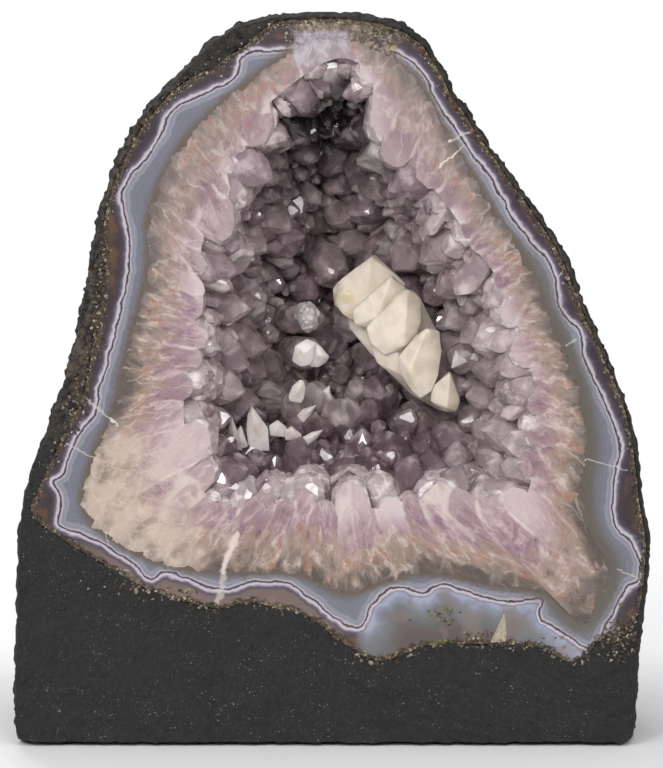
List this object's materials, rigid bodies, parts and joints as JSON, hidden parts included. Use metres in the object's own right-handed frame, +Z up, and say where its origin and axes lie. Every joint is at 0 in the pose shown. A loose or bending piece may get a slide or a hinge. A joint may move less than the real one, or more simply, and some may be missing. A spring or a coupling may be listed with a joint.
{
  "type": "amethyst geode",
  "caption": "Freestanding half geode: banded agate rim round a cavity lined with amethyst crystals and calcite, backed by a dark cement coat and foot.",
  "frame": {"origin": "on the resting plane, under the centre of the object's bounding box", "axes": "+Z up, the geode's height; -Y is where the sawn face and the open cavity look; +X is to the right as seen from the front"},
  "size_m": [0.21, 0.13, 0.24],
  "materials": {
    "cement": "painted, rough and pitted",
    "agate": "sawn and polished, banded",
    "amethyst": "clear to milky crystal, glossy",
    "calcite": "cream, satin, translucent",
    "calcite_white": "pale, satin, translucent"
  },
  "bodies": {
    "root": {"cement_base": "cement", "agate_shell": "agate", "amethyst_druse": "amethyst", "calcite_cluster": "calcite", "calcite_knob_upper": "calcite_white", "calcite_knob_lower": "calcite_white", "calcite_blade_1": "calcite_white", "calcite_blade_2": "calcite_white", "calcite_blade_3": "calcite_white", "calcite_blade_4": "calcite_white", "calcite_blade_5": "calcite_white"}
  },
  "joints": []
}
